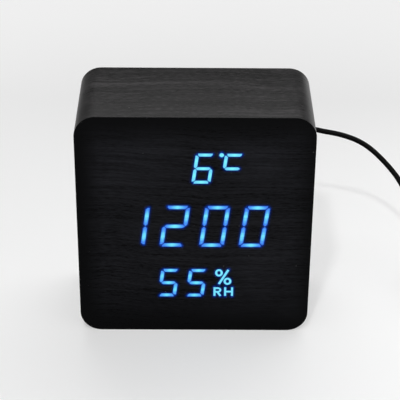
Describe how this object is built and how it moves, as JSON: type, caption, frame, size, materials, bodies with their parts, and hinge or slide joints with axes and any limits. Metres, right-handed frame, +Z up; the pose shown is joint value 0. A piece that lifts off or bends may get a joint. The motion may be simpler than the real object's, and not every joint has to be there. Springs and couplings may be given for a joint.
{
  "type": "digital clock",
  "caption": "Square table clock with a wood-grain film case, a lit readout shining through the front, rear keys, a battery door and a plug-in power cord.",
  "frame": {"origin": "on the table, under the middle of the case, cord left out", "axes": "+Z up, readout facing -Y, +X to the right as seen from the front"},
  "size_m": [0.1928, 0.0905, 0.104],
  "materials": {
    "wood_core": "raw fibreboard",
    "black_film": "satin black with a fine wood grain",
    "panel_plastic": "fine moulded texture",
    "button_plastic": "satin",
    "reflector_white": "satin",
    "diffuser_sheet": "matt translucent",
    "led_lens": "clear moulding",
    "circuit_board": "solder mask",
    "chip_black": "moulded",
    "plunger_black": "moulded",
    "crystal_can": "drawn can",
    "sensor_white": "moulded",
    "ribbon_grey": "satin",
    "screw_steel": "blackened",
    "contact_steel": "plated",
    "cell_jacket": "printed jacket",
    "plug_nickel": "nickel plated",
    "contact_brass": "gold flash",
    "cord_black": "matt flexible jacket",
    "tie_black": "matt strap"
  },
  "bodies": {
    "clock": {"case_body": "wood_core", "front_film": "black_film", "wrap_film": "black_film", "rear_film": "black_film", "rear_panel": "panel_plastic", "light_frame": "reflector_white", "diffuser": "diffuser_sheet", "segment_leds": "led_lens", "main_board": "circuit_board", "key_board": "circuit_board", "control_chip": "chip_black", "sounder": "chip_black", "key_switches": "chip_black", "power_jack": "chip_black", "clock_crystal": "crystal_can", "humidity_sensor": "sensor_white", "ribbon_sockets": "sensor_white", "ribbon_cable": "ribbon_grey", "board_screws": "screw_steel", "panel_screws": "screw_steel", "key_screws": "screw_steel", "leaf_contacts": "contact_steel", "plate_contacts": "contact_steel", "lower_cell": "cell_jacket", "middle_cell": "cell_jacket", "upper_cell": "cell_jacket", "jack_pin": "contact_brass"},
    "down_button": {"down_button": "button_plastic", "down_plunger": "plunger_black"},
    "set_button": {"set_button": "button_plastic", "set_plunger": "plunger_black"},
    "up_button": {"up_button": "button_plastic", "up_plunger": "plunger_black"},
    "door": {"battery_door": "panel_plastic"},
    "cord": {"plug_barrel": "plug_nickel", "plug_grip": "cord_black", "cord_lead": "cord_black", "cord_coil": "cord_black", "cord_tail": "cord_black", "coil_tie": "tie_black", "usb_grip": "cord_black", "usb_shell": "plug_nickel", "usb_tongue": "sensor_white", "usb_contacts": "contact_brass"}
  },
  "joints": [
    {"name": "down_press", "type": "slide", "parent": "clock", "child": "down_button", "axis": [0, -1, 0], "range_m": [0, 0.0005], "stiffness_N_per_m": 1500, "springref_m": -0.0002},
    {"name": "set_press", "type": "slide", "parent": "clock", "child": "set_button", "axis": [0, -1, 0], "range_m": [0, 0.0005], "stiffness_N_per_m": 1500, "springref_m": -0.0002},
    {"name": "up_press", "type": "slide", "parent": "clock", "child": "up_button", "axis": [0, -1, 0], "range_m": [0, 0.0005], "stiffness_N_per_m": 1500, "springref_m": -0.0002},
    {"name": "door_swing", "type": "hinge", "parent": "clock", "child": "door", "pos_m": [-0.01105, 0.0203, 0.0155], "axis": [-1, 0, 0], "range_deg": [0, 80]},
    {"name": "plug_pull", "type": "slide", "parent": "clock", "child": "cord", "axis": [0, 1, 0], "range_m": [0, 0.012]}
  ]
}
